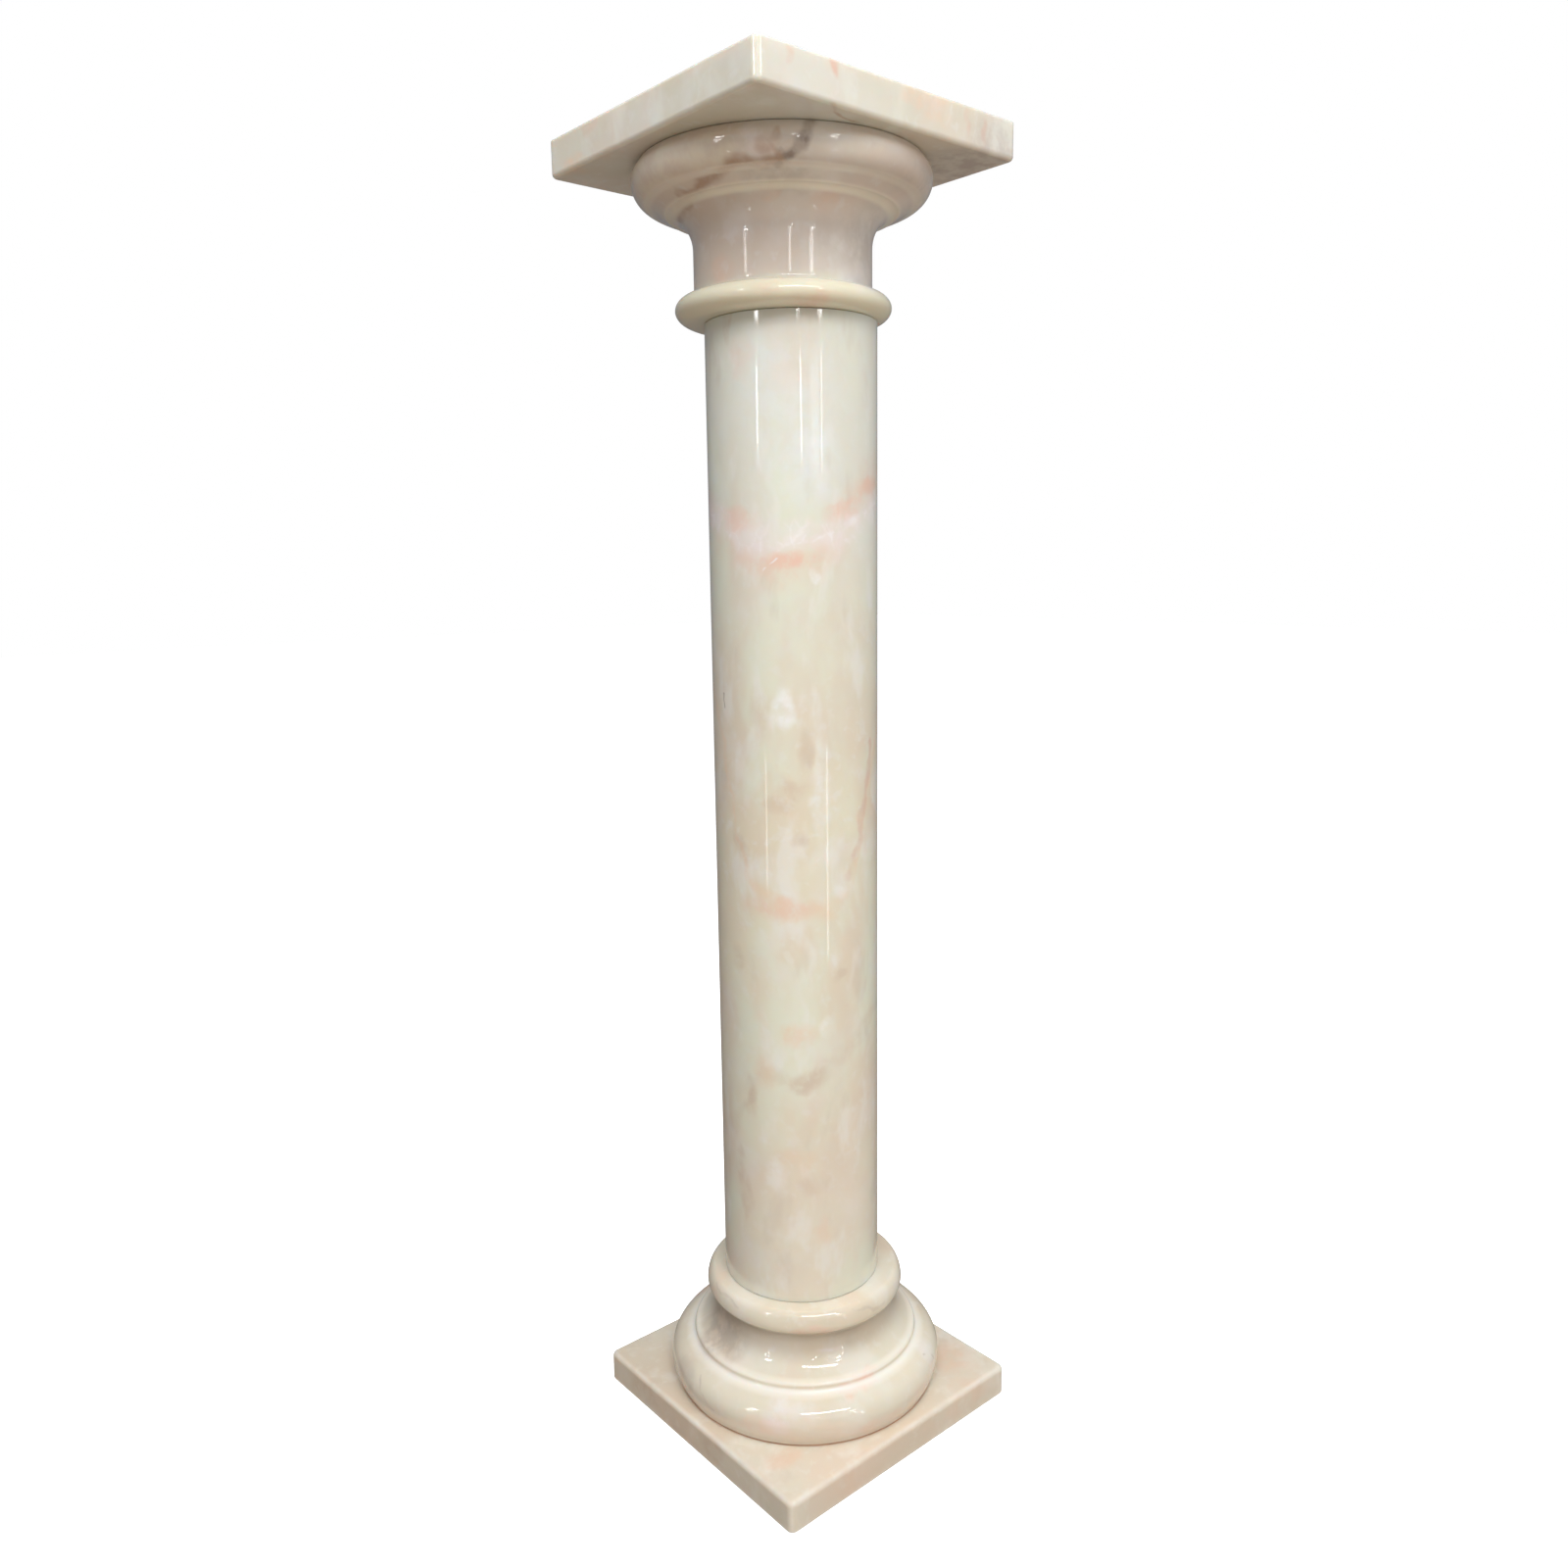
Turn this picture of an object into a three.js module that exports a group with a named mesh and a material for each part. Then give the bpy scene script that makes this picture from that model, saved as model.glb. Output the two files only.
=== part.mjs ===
// A pedestal column of polished pale marble: a square plinth, a turned base, a plain shaft, a turned capital
// and a square abacus, stacked with hairline joints. Millimetres, +Z up.
// The origin is the centre of the plinth's underside, and the slabs' sides run along X and Y.
import * as THREE from "three";

// Joints between the blocks
const JOINT = 0.3;

// Heights of the blocks
const PLINTH_HEIGHT = 25;
const SHAFT_HEIGHT = 749.4;
const ABACUS_HEIGHT = 26;

// Shaft, and the edge of the slabs beyond the widest turned block
const SHAFT_RADIUS = 63.7;
const SLAB_MARGIN = 7.2;
const SLAB_CORNER_RADIUS = 4.5;
const SOFT_EDGE = 3;
const FINE_EDGE = 1.2;

// Base, from the top down: each run is how far the moulding steps out or in
const SEAT_LEDGE = 10.3;
const UPPER_TORUS_TOP_RUN = 7.2;
const UPPER_TORUS_TOP_HEIGHT = 11.8;
const UPPER_TORUS_FOOT_RUN = 9;
const UPPER_TORUS_FOOT_HEIGHT = 8.1;
const SCOTIA_RUN = 20.5;
const SCOTIA_HEIGHT = 31.1;
const FILLET_HEIGHT = 6.9;
const LOWER_TORUS_TOP_RUN = 19.6;
const LOWER_TORUS_TOP_HEIGHT = 16.9;
const LOWER_TORUS_FOOT_RUN = 8.5;
const LOWER_TORUS_FOOT_HEIGHT = 17.6;

// Capital, from the bottom up
const NECK_LEDGE = 1.6;
const NECK_HEIGHT = 32.1;
const RING_RUN = 14.2;
const RING_SECTION_RUN = 13;
const RING_HEIGHT = 18.5;
const CAVETTO_RUN = 19.3;
const CAVETTO_HEIGHT = 24.5;
const BAND_RUN = 11.3;
const BAND_HEIGHT = 6.2;
const OVOLO_FOOT_RUN = 13.1;
const OVOLO_FOOT_HEIGHT = 15.5;
const OVOLO_TOP_RUN = 11;
const OVOLO_TOP_HEIGHT = 9.2;

// How far the centres of the upper blocks stand off the plinth's centre, in X and Y
const SHAFT_SHIFT = new THREE.Vector2(-1.6, 1.4);
const CAPITAL_SHIFT = new THREE.Vector2(-5.6, 4.9);
const ABACUS_SHIFT = new THREE.Vector2(-6.8, 5.9);

// Facets
const TURNED_SIDES = 64;
const QUARTER_STEPS = 5;
const CORNER_STEPS = 4;
const EDGE_STEPS = 3;

// Radii of the base and the capital, worked out from the shaft's
const seatRadius = SHAFT_RADIUS + SEAT_LEDGE;
const upperTorusRadius = seatRadius + UPPER_TORUS_TOP_RUN;
const waistRadius = upperTorusRadius - UPPER_TORUS_FOOT_RUN;
const filletRadius = waistRadius + SCOTIA_RUN;
const lowerTorusRadius = filletRadius + LOWER_TORUS_TOP_RUN;
const baseFootRadius = lowerTorusRadius - LOWER_TORUS_FOOT_RUN;

const neckRadius = SHAFT_RADIUS + NECK_LEDGE;
const ringRadius = neckRadius + RING_RUN;
const arrisRadius = neckRadius + CAVETTO_RUN;
const lipRadius = arrisRadius + BAND_RUN;
const ovoloRadius = lipRadius + OVOLO_FOOT_RUN;
const capitalTopRadius = ovoloRadius - OVOLO_TOP_RUN;

// The two slabs are alike in plan and reach past whichever turned block is wider
const slabSide = 2 * (Math.max(lowerTorusRadius, ovoloRadius) + SLAB_MARGIN);

// A quarter of an ellipse about (radius, height), from one angle to the other, in degrees
function quarter(radius, height, run, rise, from, to) {
  const curve = new THREE.EllipseCurve(
    radius,
    height,
    run,
    rise,
    THREE.MathUtils.degToRad(from),
    THREE.MathUtils.degToRad(to),
    to < from,
  );
  return curve.getPoints(QUARTER_STEPS);
}

// Turns an outline of (radius, height) points, bottom to top, about the upright axis
function turned(outline) {
  const points = [new THREE.Vector2(0, outline[0].y)];
  for (const point of outline) {
    if (point.distanceTo(points[points.length - 1]) > 0.01) points.push(point);
  }
  points.push(new THREE.Vector2(0, points[points.length - 1].y));
  return new THREE.LatheGeometry(points, TURNED_SIDES).rotateX(Math.PI / 2);
}

// The outline of a square with rounded corners, its middle at the origin
function roundedSquare(half, radius) {
  const inner = half - radius;
  const points = [];
  for (let corner = 0; corner < 4; corner++) {
    const start = (corner * Math.PI) / 2;
    const middle = new THREE.Vector2(inner, inner).rotateAround(new THREE.Vector2(), start);
    for (let step = 0; step <= CORNER_STEPS; step++) {
      const angle = start + (step / CORNER_STEPS) * (Math.PI / 2);
      points.push(new THREE.Vector2(Math.cos(angle), Math.sin(angle)).multiplyScalar(radius).add(middle));
    }
  }
  return points;
}

// A square slab with rounded corners, whose lower and upper edges are each rounded by their own radius
function slab(side, height, lowerEdge, upperEdge) {
  const levels = [];
  for (let step = 0; step <= EDGE_STEPS; step++) {
    const angle = (step / EDGE_STEPS) * (Math.PI / 2);
    levels.push({ inset: lowerEdge * (1 - Math.sin(angle)), z: lowerEdge * (1 - Math.cos(angle)) });
  }
  for (let step = 0; step <= EDGE_STEPS; step++) {
    const angle = (step / EDGE_STEPS) * (Math.PI / 2);
    levels.push({ inset: upperEdge * (1 - Math.cos(angle)), z: height - upperEdge * (1 - Math.sin(angle)) });
  }
  const vertices = [];
  for (const { inset, z } of levels) {
    for (const point of roundedSquare(side / 2 - inset, SLAB_CORNER_RADIUS - inset)) {
      vertices.push(point.x, point.y, z);
    }
  }
  const round = 4 * (CORNER_STEPS + 1);
  const faces = [];
  for (let level = 0; level < levels.length - 1; level++) {
    for (let i = 0; i < round; i++) {
      const low = level * round + i;
      const lowNext = level * round + ((i + 1) % round);
      faces.push(low, lowNext, lowNext + round, low, lowNext + round, low + round);
    }
  }
  const top = (levels.length - 1) * round;
  for (let i = 1; i < round - 1; i++) {
    faces.push(0, i + 1, i);
    faces.push(top, top + i, top + i + 1);
  }
  const geometry = new THREE.BufferGeometry();
  geometry.setAttribute("position", new THREE.Float32BufferAttribute(vertices, 3));
  geometry.setIndex(faces);
  geometry.computeVertexNormals();
  return geometry;
}

// Lower torus, fillet, scotia and upper torus, with a flat seat on top
function baseOutline() {
  const lowerTorusMiddle = LOWER_TORUS_FOOT_HEIGHT;
  const filletFoot = lowerTorusMiddle + LOWER_TORUS_TOP_HEIGHT;
  const filletTop = filletFoot + FILLET_HEIGHT;
  const waist = filletTop + SCOTIA_HEIGHT;
  const upperTorusMiddle = waist + UPPER_TORUS_FOOT_HEIGHT;
  return [
    ...quarter(baseFootRadius, lowerTorusMiddle, LOWER_TORUS_FOOT_RUN, LOWER_TORUS_FOOT_HEIGHT, -90, 0),
    ...quarter(filletRadius, lowerTorusMiddle, LOWER_TORUS_TOP_RUN, LOWER_TORUS_TOP_HEIGHT, 0, 90),
    ...quarter(filletRadius, waist, SCOTIA_RUN, SCOTIA_HEIGHT, 270, 180),
    ...quarter(waistRadius, upperTorusMiddle, UPPER_TORUS_FOOT_RUN, UPPER_TORUS_FOOT_HEIGHT, -90, 0),
    ...quarter(seatRadius, upperTorusMiddle, UPPER_TORUS_TOP_RUN, UPPER_TORUS_TOP_HEIGHT, 0, 90),
  ];
}

// Ring, neck, cavetto up to its arris, splayed band and ovolo
function capitalOutline() {
  const ringMiddle = RING_HEIGHT / 2;
  const ringCentre = ringRadius - RING_SECTION_RUN;
  const neckTop = RING_HEIGHT + NECK_HEIGHT;
  const arris = neckTop + CAVETTO_HEIGHT;
  const lip = arris + BAND_HEIGHT;
  const ovoloMiddle = lip + OVOLO_FOOT_HEIGHT;
  return [
    ...quarter(ringCentre, ringMiddle, RING_SECTION_RUN, ringMiddle, -90, 0),
    ...quarter(ringCentre, ringMiddle, RING_SECTION_RUN, ringMiddle, 0, 90),
    new THREE.Vector2(neckRadius, RING_HEIGHT),
    ...quarter(arrisRadius, neckTop, CAVETTO_RUN, CAVETTO_HEIGHT, 180, 90),
    ...quarter(lipRadius, ovoloMiddle, OVOLO_FOOT_RUN, OVOLO_FOOT_HEIGHT, -90, 0),
    ...quarter(capitalTopRadius, ovoloMiddle, OVOLO_TOP_RUN, OVOLO_TOP_HEIGHT, 0, 90),
  ];
}

// Polished stone, with the colour that each block has on the whole
function stone(colour) {
  return new THREE.MeshStandardMaterial({ color: colour, roughness: 0.15, metalness: 0 });
}

const baseProfile = baseOutline();
const capitalProfile = capitalOutline();
const baseHeight = baseProfile[baseProfile.length - 1].y;
const capitalHeight = capitalProfile[capitalProfile.length - 1].y;
const shaftProfile = [new THREE.Vector2(SHAFT_RADIUS, 0), new THREE.Vector2(SHAFT_RADIUS, SHAFT_HEIGHT)];

// The blocks from the ground up: each stands on the one before it, one joint higher
const blocks = [
  {
    name: "plinth",
    height: PLINTH_HEIGHT,
    shift: new THREE.Vector2(),
    colour: 0xd9cdb8,
    geometry: slab(slabSide, PLINTH_HEIGHT, FINE_EDGE, SOFT_EDGE),
  },
  {
    name: "base",
    height: baseHeight,
    shift: new THREE.Vector2(),
    colour: 0xe6dac6,
    geometry: turned(baseProfile),
  },
  {
    name: "shaft",
    height: SHAFT_HEIGHT,
    shift: SHAFT_SHIFT,
    colour: 0xded0bd,
    geometry: turned(shaftProfile),
  },
  {
    name: "capital",
    height: capitalHeight,
    shift: CAPITAL_SHIFT,
    colour: 0xc9bbab,
    geometry: turned(capitalProfile),
  },
  {
    name: "abacus",
    height: ABACUS_HEIGHT,
    shift: ABACUS_SHIFT,
    colour: 0xe2d8c3,
    geometry: slab(slabSide, ABACUS_HEIGHT, SOFT_EDGE, FINE_EDGE),
  },
];

const column = new THREE.Group();
column.name = "marble_column";
let level = 0;
for (const block of blocks) {
  const mesh = new THREE.Mesh(block.geometry, stone(block.colour));
  mesh.name = block.name;
  mesh.position.set(block.shift.x, block.shift.y, level);
  column.add(mesh);
  level += block.height + JOINT;
}

export default column;
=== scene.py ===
import math

import bpy
from mathutils import Matrix, Vector, noise


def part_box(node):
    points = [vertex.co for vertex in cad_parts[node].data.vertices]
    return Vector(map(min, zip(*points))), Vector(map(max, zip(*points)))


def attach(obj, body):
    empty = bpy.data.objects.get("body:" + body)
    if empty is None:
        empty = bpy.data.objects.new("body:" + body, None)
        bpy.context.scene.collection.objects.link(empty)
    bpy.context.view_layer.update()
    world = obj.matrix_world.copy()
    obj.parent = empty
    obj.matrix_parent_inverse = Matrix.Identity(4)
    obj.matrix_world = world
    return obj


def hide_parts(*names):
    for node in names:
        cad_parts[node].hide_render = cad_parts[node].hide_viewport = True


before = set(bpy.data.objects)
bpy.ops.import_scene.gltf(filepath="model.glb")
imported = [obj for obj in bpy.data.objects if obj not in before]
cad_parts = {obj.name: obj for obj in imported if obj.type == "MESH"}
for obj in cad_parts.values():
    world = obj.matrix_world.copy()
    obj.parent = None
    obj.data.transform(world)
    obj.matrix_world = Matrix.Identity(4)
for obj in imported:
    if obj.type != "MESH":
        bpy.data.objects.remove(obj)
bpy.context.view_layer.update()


# Plinth
# The bottom slab, sawn square from cream stone and polished on its top and four sides. Its upper arris is
# rubbed round by hand, the corners a little more, and the lower edge is only eased where it meets the floor.
MM = 0.001
PLINTH_SOFT_ARRIS = 4 * MM
PLINTH_FINE_ARRIS = 1.2 * MM
SLAB_CORNER = 5.5 * MM
SLAB_HAND_RUBBING = 0.25 * MM
RUBBING_SCALE = 90
ARRIS_RIM = 0.5 * MM
FACE_RIM = 4 * MM
BEDDING_RADIUS = 107.3 * MM
BEDDING_WIDTH = 1.4 * MM
PLINTH_HIGHLIGHT_REACH = 4 * MM
BEST_POLISH, DULLEST_POLISH = 0.04, 0.08
POLISH_WAVES = 0.03 * MM
GLOW_DEPTH = 10 * MM
ARRIS_STEPS = 6
CORNER_STEPS = 8
SIDE_STEPS = 48
FAWN = (0.62, 0.52, 0.41, 1)
PALE_CREAM = (0.80, 0.76, 0.67, 1)
PLINTH_PINK = (0.76, 0.55, 0.41, 1)
PLINTH_BROWN = (0.58, 0.43, 0.32, 1)
BEDDING_STAIN = (0.66, 0.42, 0.28, 1)
PLINTH_ARRIS_HIGHLIGHT = (0.86, 0.82, 0.76, 1)


def slab_outline(half, corner):
    """The slab's outline in plan, anticlockwise: a square with rounded corners and points along its sides."""
    points = []
    inner = half - corner
    for quarter in range(4):
        turn = Matrix.Rotation(quarter * math.pi / 2, 2)
        for step in range(CORNER_STEPS + 1):
            angle = math.pi / 2 * step / CORNER_STEPS
            points.append(turn @ Vector((inner + corner * math.cos(angle), inner + corner * math.sin(angle))))
        for step in range(1, SIDE_STEPS):
            points.append(turn @ Vector((inner - 2 * inner * step / SIDE_STEPS, half)))
    return points


def rubbed_slab(name, low, high, lower_arris, upper_arris):
    """A square slab between two corners of its box, its arrises rounded and rubbed slightly uneven. Rims of
    points beside each arris keep its flat faces flat."""
    middle = (low + high) / 2
    half = (high.x - low.x) / 2
    levels = [(lower_arris + FACE_RIM, low.z), (lower_arris + ARRIS_RIM, low.z)]
    for step in range(ARRIS_STEPS + 1):
        angle = math.pi / 2 * step / ARRIS_STEPS
        levels.append((lower_arris * (1 - math.sin(angle)), low.z + lower_arris * (1 - math.cos(angle))))
    levels.append((0, low.z + lower_arris + ARRIS_RIM))
    levels.append((0, high.z - upper_arris - ARRIS_RIM))
    for step in range(ARRIS_STEPS + 1):
        angle = math.pi / 2 * step / ARRIS_STEPS
        levels.append((upper_arris * (1 - math.cos(angle)), high.z - upper_arris * (1 - math.sin(angle))))
    levels += [(upper_arris + ARRIS_RIM, high.z), (upper_arris + FACE_RIM, high.z)]
    vertices = []
    for inset, height in levels:
        for point in slab_outline(half - inset, max(SLAB_CORNER - inset, ARRIS_RIM)):
            place = Vector((middle.x + point.x, middle.y + point.y, height))
            on_arris = 0 < inset < max(lower_arris, upper_arris)
            rub = SLAB_HAND_RUBBING * abs(noise.noise(place * RUBBING_SCALE)) if on_arris else 0
            inward = Vector((middle.x, middle.y, (low.z + high.z) / 2)) - place
            vertices.append(place + inward.normalized() * rub)
    around = 4 * (CORNER_STEPS + SIDE_STEPS)
    faces = []
    for level in range(len(levels) - 1):
        for i in range(around):
            a, b = level * around + i, level * around + (i + 1) % around
            faces.append((a, b, b + around, a + around))
    top = (len(levels) - 1) * around
    faces.append(tuple(reversed(range(around))))
    faces.append(tuple(range(top, top + around)))
    mesh = bpy.data.meshes.new(name)
    mesh.from_pydata(vertices, [], faces)
    mesh.shade_smooth()
    slab = bpy.data.objects.new(name, mesh)
    bpy.context.scene.collection.objects.link(slab)
    return slab


def node(tree, kind, inputs=(), **settings):
    """A new node with its settings, and its inputs by place or name: a plain value, or a socket to link."""
    made = tree.nodes.new(kind)
    for setting, value in settings.items():
        setattr(made, setting, value)
    pairs = inputs.items() if isinstance(inputs, dict) else enumerate(inputs)
    for key, value in pairs:
        if isinstance(value, bpy.types.NodeSocket):
            tree.links.new(value, made.inputs[key])
        elif value is not None:
            made.inputs[key].default_value = value
    return made


def reckon(tree, operation, a, b=None, c=None):
    """Arithmetic on plain values in a tree."""
    return node(tree, "ShaderNodeMath", (a, b, c), operation=operation).outputs[0]


def reckon_vector(tree, operation, a, b=None, c=None, result=0):
    """Arithmetic on places and directions. result is "Value" where a plain value comes out."""
    return node(tree, "ShaderNodeVectorMath", (a, b, c), operation=operation).outputs[result]


def xyz(tree, place):
    """The three coordinates of a place, by name."""
    return node(tree, "ShaderNodeSeparateXYZ", (place,)).outputs


def tinted(tree, amount, under, over):
    """One colour laid over another by an amount from 0 to 1."""
    mix = node(tree, "ShaderNodeMix", {0: amount, 6: under, 7: over}, data_type="RGBA")
    return mix.outputs[2]


def faded(tree, value, start, end, to=1.0):
    """A value turned into a soft step from 0 at start to its full amount at end."""
    step = node(tree, "ShaderNodeMapRange", (value, start, end, 0.0, to), interpolation_type="SMOOTHSTEP")
    return step.outputs[0]


def grain(tree, place, scale, detail=3.0, roughness=0.5):
    """Soft noise in the stone, from 0 to 1, with so many features to the metre."""
    return node(tree, "ShaderNodeTexNoise", {
        "Vector": place, "Scale": scale, "Detail": detail, "Roughness": roughness,
    })


class MarbleBlock:
    """Banded onyx marble for one block, built up in layers: a cream ground that drifts to ivory, coloured
    clouds and white mist, the marks this block has in named places, painted shade and painted highlights laid
    the same way, and a hand polish. cut is where in the quarried stone the block was sawn, so no two blocks
    share their clouds."""

    def __init__(self, name, cut, cream, ivory, cloud, mist, clouds=0.6, mists=0.5):
        self.stone = bpy.data.materials.new(name)
        self.stone.use_nodes = True
        self.tree = self.stone.node_tree
        self.tree.nodes.clear()
        self.place = node(self.tree, "ShaderNodeTexCoord").outputs["Object"]
        self.sawn = node(self.tree, "ShaderNodeMapping", {"Vector": self.place, "Location": cut}).outputs[0]
        self.flow = self.stirred(self.sawn, 7, 0.05)
        self.ragged = self.stirred(self.place, 50, 0.014)
        self.breaks = faded(self.tree, grain(self.tree, self.sawn, 70, 3, 0.6).outputs[0], 0.36, 0.62)
        self.colour = tinted(self.tree, self.patches(8, 0.38, 0.6), cream, ivory)
        self.lay(self.patches(13, 0.46, 0.7, clouds), cloud)
        self.lay(self.patches(21, 0.5, 0.72, mists), mist)
        flecks = faded(self.tree, grain(self.tree, self.flow, 95, 2, 0.6).outputs[0], 0.54, 0.72, 0.35)
        self.lay(flecks, mist)
        specks = faded(self.tree, grain(self.tree, self.sawn, 120, 2, 0.6).outputs[0], 0.36, 0.2, 0.3)
        self.lay(specks, cloud)

    def stirred(self, place, scale, reach):
        """A place moved about by noise, so that what is drawn there swirls."""
        swirl = grain(self.tree, place, scale, 2).outputs["Color"]
        swirl = reckon_vector(self.tree, "SUBTRACT", swirl, (0.5,) * 3)
        return reckon_vector(self.tree, "MULTIPLY_ADD", swirl, (reach,) * 3, place)

    def patches(self, scale, start, end, strength=1.0):
        """Soft patches, so many to the metre, that come in where the grain passes from start to end."""
        return faded(self.tree, grain(self.tree, self.flow, scale, 3, 0.5).outputs[0], start, end, strength)

    def lay(self, amount, colour):
        """One more layer of colour over the stone so far."""
        self.colour = tinted(self.tree, amount, self.colour, colour)

    def streaks(self, colour, scale, start, end, strength, lean=(0.6, 0.4, 0.0)):
        """Soft streaks that lean across the block, drawn out the way its beds lay in the quarry."""
        bed = {"Vector": self.flow, "Rotation": lean, "Scale": (1, 1, 0.4)}
        bed = node(self.tree, "ShaderNodeMapping", bed).outputs[0]
        cloud = grain(self.tree, bed, scale, 3, 0.55).outputs[0]
        self.lay(faded(self.tree, cloud, start, end, strength), colour)

    def crackle(self, colour, scale, strength, where):
        """Healed cracks, a net of fine broken lines, laid where an amount lets them show."""
        inputs = {"Vector": self.ragged, "Scale": scale}
        net = node(self.tree, "ShaderNodeTexVoronoi", inputs, feature="DISTANCE_TO_EDGE").outputs["Distance"]
        lines = self.broken(faded(self.tree, net, 0.13, 0.0, strength), solid=0.1)
        self.lay(reckon(self.tree, "MULTIPLY", lines, where), colour)

    def broken(self, amount, solid):
        """An amount broken up by the grain: solid is the share of it that no break takes away."""
        kept = reckon(self.tree, "MULTIPLY_ADD", self.breaks, 1 - solid, solid)
        return reckon(self.tree, "MULTIPLY", amount, kept)

    def spots(self, colour, spots):
        """Soft spots, each (place, way the face looks, lean, width, height, strength), in metres, degrees."""
        total = None
        for at, turn, lean, wide, tall, strength in spots:
            angle, tip = math.radians(turn), math.radians(lean)
            aside = Vector((-math.sin(angle), math.cos(angle), 0))
            long, short = max(wide, tall), min(wide, tall)
            across = aside if wide < tall else Vector((0, 0, 1))
            across = across * math.cos(tip) + (Vector((0, 0, 1)) if wide < tall else -aside) * math.sin(tip)
            out = reckon_vector(self.tree, "SUBTRACT", self.ragged, at)
            squeezed = across * math.sqrt(1 / short ** 2 - 1 / long ** 2)
            thin = reckon_vector(self.tree, "DOT_PRODUCT", out, squeezed, result="Value")
            far = reckon_vector(self.tree, "DOT_PRODUCT", out, out, result="Value")
            reach = reckon(self.tree, "MULTIPLY_ADD", thin, thin, reckon(self.tree, "DIVIDE", far, long ** 2))
            spot = faded(self.tree, reach, 2.4, 0.0, strength)
            total = spot if total is None else reckon(self.tree, "MAXIMUM", total, spot)
        self.lay(self.broken(total, solid=0.35), colour)

    def vein(self, colour, width, strength, points):
        """A narrow vein through a line of places."""
        nearest = None
        for start, end in zip(points, points[1:]):
            seam = node(self.tree, "ShaderNodeGroup", node_tree=distance_to_seam)
            self.tree.links.new(self.ragged, seam.inputs["Place"])
            seam.inputs["From"].default_value, seam.inputs["To"].default_value = start, end
            apart = seam.outputs["Distance"]
            nearest = apart if nearest is None else reckon(self.tree, "MINIMUM", nearest, apart)
        line = faded(self.tree, nearest, width, width * 0.2, strength)
        self.lay(self.broken(line, solid=0.5), colour)

    def band(self, colour, width, strength, axis, course):
        """A band all round a turned block, through heights given for some turns, in degrees and metres."""
        off = xyz(self.tree, reckon_vector(self.tree, "SUBTRACT", self.ragged, axis))
        turn = reckon(self.tree, "ARCTAN2", off["Y"], off["X"])
        turn = reckon(self.tree, "FRACT", reckon(self.tree, "MULTIPLY", turn, 0.5 / math.pi))
        level = node(self.tree, "ShaderNodeFloatCurve", {"Value": turn})
        line = level.mapping.curves[0].points
        line[0].location, line[1].location = (0, course[0][1]), (1, course[0][1])
        for angle, height in course[1:]:
            line.new(angle / 360, height)
        level.mapping.update()
        apart = reckon(self.tree, "ABSOLUTE", reckon(self.tree, "SUBTRACT", off["Z"], level.outputs[0]))
        amount = self.broken(faded(self.tree, apart, width, width * 0.1, strength), solid=0.4)
        self.lay(amount, colour)
        return amount

    def painted_arris_highlights(self, low, high, reach, colour, strength):
        """A painted highlight along a slab's arrises, paler towards each arris."""
        middle, half = (low + high) / 2, (high - low) / 2
        out = reckon_vector(self.tree, "SUBTRACT", self.place, middle)
        out = reckon_vector(self.tree, "ABSOLUTE", out)
        past = xyz(self.tree, reckon_vector(self.tree, "SUBTRACT", out, half))
        nearer = reckon(self.tree, "MINIMUM", past["X"], past["Y"])
        nearest = reckon(self.tree, "MAXIMUM", past["X"], past["Y"])
        second = reckon(self.tree, "MAXIMUM", nearer, reckon(self.tree, "MINIMUM", nearest, past["Z"]))
        edge = faded(self.tree, second, -reach, -0.1 * reach, strength)
        self.lay(self.broken(edge, solid=0.5), colour)

    def ring(self, colour, level, reach, core, strength):
        """A ring of painted shade or painted highlight all round a turned block, full within its core and
        gone at its reach.
        """
        height = xyz(self.tree, self.place)["Z"]
        off = reckon(self.tree, "ABSOLUTE", reckon(self.tree, "SUBTRACT", height, level))
        self.lay(faded(self.tree, off, reach, core, strength), colour)

    def polished(self):
        """The finished material: translucent stone with a hand polish, its gloss a little uneven."""
        gloss = grain(self.tree, self.sawn, 40, 1).outputs[0]
        dulled = node(self.tree, "ShaderNodeMapRange", (gloss, 0.3, 0.7, BEST_POLISH, DULLEST_POLISH))
        waves = grain(self.tree, self.sawn, 55, 1).outputs[0]
        waved = {"Strength": 0.3, "Distance": POLISH_WAVES, "Height": waves}
        surface = node(self.tree, "ShaderNodeBump", waved)
        shader = node(
            self.tree, "ShaderNodeBsdfPrincipled",
            {"Base Color": self.colour, "Roughness": dulled.outputs[0], "Normal": surface.outputs[0],
             "IOR": 1.6, "Specular IOR Level": 0.65, "Subsurface Weight": 0.45,
             "Subsurface Radius": (1.0, 0.65, 0.45), "Subsurface Scale": GLOW_DEPTH},
        )
        node(self.tree, "ShaderNodeOutputMaterial", {"Surface": shader.outputs[0]})
        return self.stone


def seam_nodes():
    """Shader nodes for the distance from a place to a straight seam between two others."""
    tree = bpy.data.node_groups.new("distance to seam", "ShaderNodeTree")
    for name in ("Place", "From", "To"):
        tree.interface.new_socket(name, in_out="INPUT", socket_type="NodeSocketVector")
    tree.interface.new_socket("Distance", in_out="OUTPUT", socket_type="NodeSocketFloat")
    given = node(tree, "NodeGroupInput").outputs
    along = reckon_vector(tree, "SUBTRACT", given["To"], given["From"])
    out = reckon_vector(tree, "SUBTRACT", given["Place"], given["From"])
    on_seam = reckon_vector(tree, "DOT_PRODUCT", out, along, result="Value")
    length = reckon_vector(tree, "DOT_PRODUCT", along, along, result="Value")
    share = node(tree, "ShaderNodeMath", (on_seam, length), operation="DIVIDE", use_clamp=True).outputs[0]
    foot = node(tree, "ShaderNodeVectorMath", {0: along, "Scale": share}, operation="SCALE").outputs[0]
    node(tree, "NodeGroupOutput", (reckon_vector(tree, "DISTANCE", out, foot, result="Value"),))
    return tree


distance_to_seam = seam_nodes()
LEFT_FACE, RIGHT_FACE = 180, 270


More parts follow.
